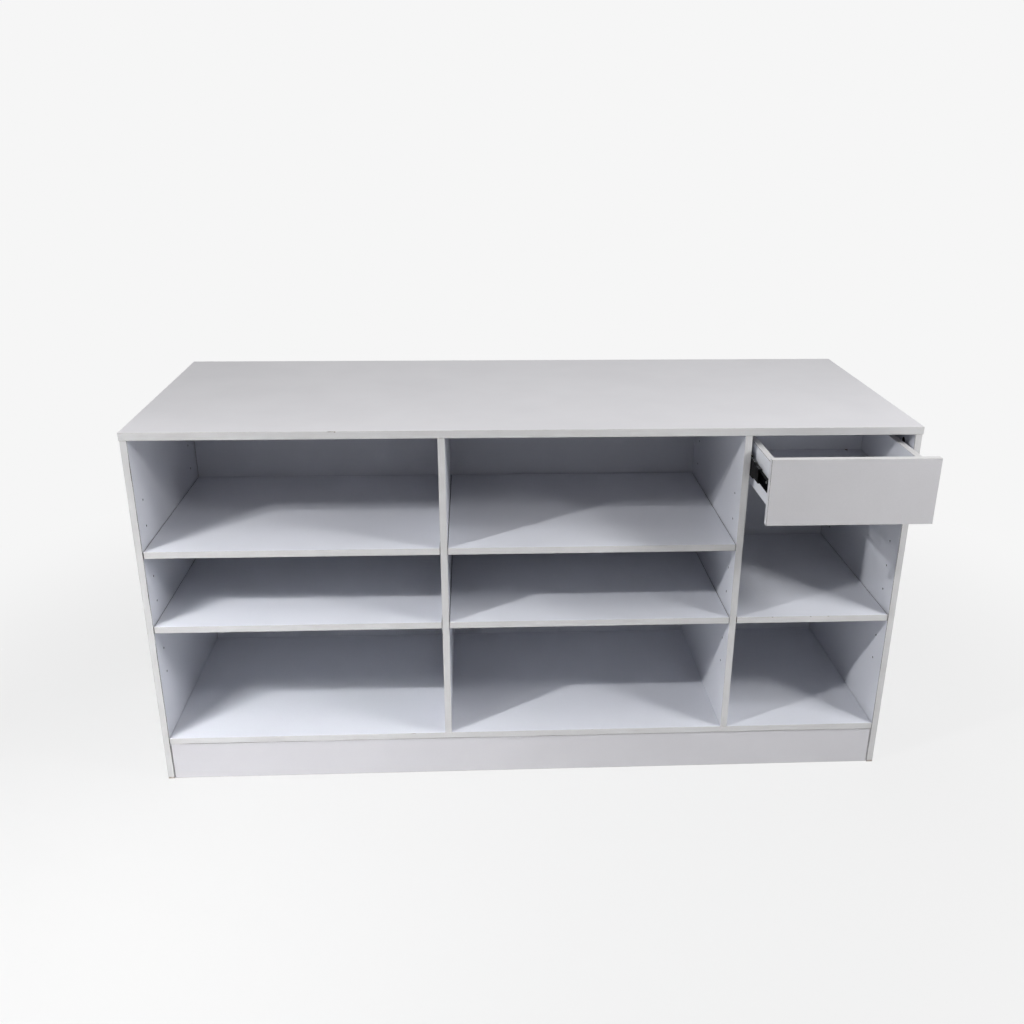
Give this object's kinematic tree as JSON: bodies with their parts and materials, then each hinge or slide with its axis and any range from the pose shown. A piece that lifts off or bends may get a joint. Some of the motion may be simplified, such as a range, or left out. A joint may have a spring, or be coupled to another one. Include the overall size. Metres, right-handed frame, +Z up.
{
  "type": "retail counter",
  "caption": "Shop counter of white faced board with open shelved bays on the staff side, shelves on pins in drilled rows and a drawer on ball-bearing slides under the worktop.",
  "frame": {"origin": "on the floor below the middle of the object's box, with the drawer pulled out as in the picture", "axes": "+X to the right seen from the staff side, +Y towards the customer side, +Z up"},
  "size_m": [1.804, 0.86, 0.9],
  "materials": {
    "melamine": "satin white melamine facing on chipboard",
    "slide_steel": "black zinc-plated rolled steel",
    "cage_steel": "bright steel balls in a pressed cage",
    "pin_steel": "nickel-plated steel",
    "cam_zinc": "die-cast zinc"
  },
  "bodies": {
    "carcass": {"top_panel": "melamine", "gable_left": "melamine", "gable_right": "melamine", "divider_left": "melamine", "divider_right": "melamine", "base_panel": "melamine", "back_panel": "melamine", "plinth": "melamine", "plinth_brace_left": "melamine", "plinth_brace_right": "melamine", "shelf_left_upper": "melamine", "shelf_left_lower": "melamine", "shelf_middle_upper": "melamine", "shelf_middle_lower": "melamine", "shelf_right": "melamine", "pin_left_upper_front_left": "pin_steel", "pin_left_upper_front_right": "pin_steel", "pin_left_upper_rear_left": "pin_steel", "pin_left_upper_rear_right": "pin_steel", "pin_left_lower_front_left": "pin_steel", "pin_left_lower_front_right": "pin_steel", "pin_left_lower_rear_left": "pin_steel", "pin_left_lower_rear_right": "pin_steel", "pin_middle_upper_front_left": "pin_steel", "pin_middle_upper_front_right": "pin_steel", "pin_middle_upper_rear_left": "pin_steel", "pin_middle_upper_rear_right": "pin_steel", "pin_middle_lower_front_left": "pin_steel", "pin_middle_lower_front_right": "pin_steel", "pin_middle_lower_rear_left": "pin_steel", "pin_middle_lower_rear_right": "pin_steel", "pin_right_front_left": "pin_steel", "pin_right_front_right": "pin_steel", "pin_right_rear_left": "pin_steel", "pin_right_rear_right": "pin_steel", "cam_gable_left_front": "cam_zinc", "cam_gable_left_rear": "cam_zinc", "cam_divider_left_front": "cam_zinc", "cam_divider_left_rear": "cam_zinc", "cam_divider_right_front": "cam_zinc", "cam_divider_right_rear": "cam_zinc", "cam_gable_right_front": "cam_zinc", "cam_gable_right_rear": "cam_zinc", "slide_cabinet_left": "slide_steel", "slide_cabinet_right": "slide_steel"},
    "drawer": {"drawer_front": "melamine", "drawer_side_left": "melamine", "drawer_side_right": "melamine", "drawer_back": "melamine", "drawer_bottom": "melamine", "slide_drawer_left": "slide_steel", "slide_drawer_right": "slide_steel"},
    "slide_middles": {"slide_middle_left": "slide_steel", "slide_middle_right": "slide_steel"},
    "outer_cages": {"slide_outer_cage_left": "cage_steel", "slide_outer_cage_right": "cage_steel"},
    "inner_cages": {"slide_inner_cage_left": "cage_steel", "slide_inner_cage_right": "cage_steel"}
  },
  "joints": [
    {"name": "drawer_slide", "type": "slide", "parent": "carcass", "child": "drawer", "axis": [0, -1, 0], "range_m": [-0.16, 0.24]},
    {"name": "middle_slide", "type": "slide", "parent": "carcass", "child": "slide_middles", "axis": [0, -1, 0], "range_m": [-0.08, 0.12]},
    {"name": "outer_cage_slide", "type": "slide", "parent": "carcass", "child": "outer_cages", "axis": [0, -1, 0], "range_m": [-0.04, 0.06]},
    {"name": "inner_cage_slide", "type": "slide", "parent": "carcass", "child": "inner_cages", "axis": [0, -1, 0], "range_m": [-0.12, 0.18]}
  ],
  "couplings": [
    {"joint": "middle_slide", "follows": "drawer_slide", "ratio": 0.5},
    {"joint": "outer_cage_slide", "follows": "drawer_slide", "ratio": 0.25},
    {"joint": "inner_cage_slide", "follows": "drawer_slide", "ratio": 0.75}
  ]
}
